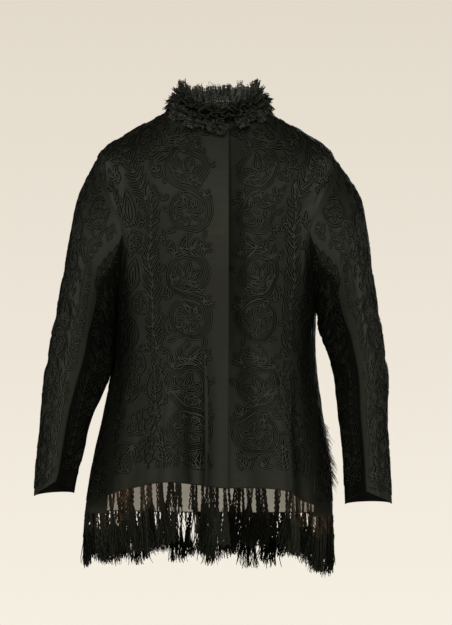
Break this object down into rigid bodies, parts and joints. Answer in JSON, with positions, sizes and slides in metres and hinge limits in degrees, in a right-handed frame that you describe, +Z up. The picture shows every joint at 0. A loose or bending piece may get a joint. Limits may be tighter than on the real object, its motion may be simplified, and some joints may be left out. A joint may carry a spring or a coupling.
{
  "type": "dolman mantle",
  "caption": "Hip-length black silk dolman mantle with lapped fronts, seamed sleeves, corded scrolls, a lace neck frill and a floss fringe, standing as it is worn.",
  "frame": {"origin": "middle of the neck opening, at the height of the neck points, where the shoulders carry the garment", "axes": "+Z up along the garment, +X to the wearer's left, and the front faces -Y"},
  "size_m": [0.652, 0.3198, 0.9392],
  "materials": {
    "silk": "ribbed silk with a soft sheen",
    "braid": "couched silk cord, slightly glossy",
    "lace": "matt gathered lace",
    "floss": "crinkled cord and loose silk floss"
  },
  "bodies": {
    "root": {"front_right": "silk", "front_left": "silk", "back": "silk", "sleeve_outer_right": "silk", "sleeve_outer_left": "silk", "sleeve_under_right": "silk", "sleeve_under_left": "silk", "frill_standing": "lace", "frill_falling": "lace", "rosette": "lace", "fringe_front_right": "floss", "fringe_front_left": "floss", "fringe_back": "floss", "fringe_side_right": "floss", "fringe_side_left": "floss", "scroll_front_right_1": "braid", "scroll_front_right_2": "braid", "scroll_front_right_3": "braid", "scroll_front_left_1": "braid", "scroll_front_left_2": "braid", "scroll_front_left_3": "braid", "scroll_back_right_1": "braid", "scroll_back_right_2": "braid", "scroll_back_right_3": "braid", "scroll_back_left_1": "braid", "scroll_back_left_2": "braid", "scroll_back_left_3": "braid", "scroll_sleeve_right_1": "braid", "scroll_sleeve_right_2": "braid", "scroll_sleeve_right_3": "braid", "scroll_sleeve_left_1": "braid", "scroll_sleeve_left_2": "braid", "scroll_sleeve_left_3": "braid"}
  },
  "joints": []
}
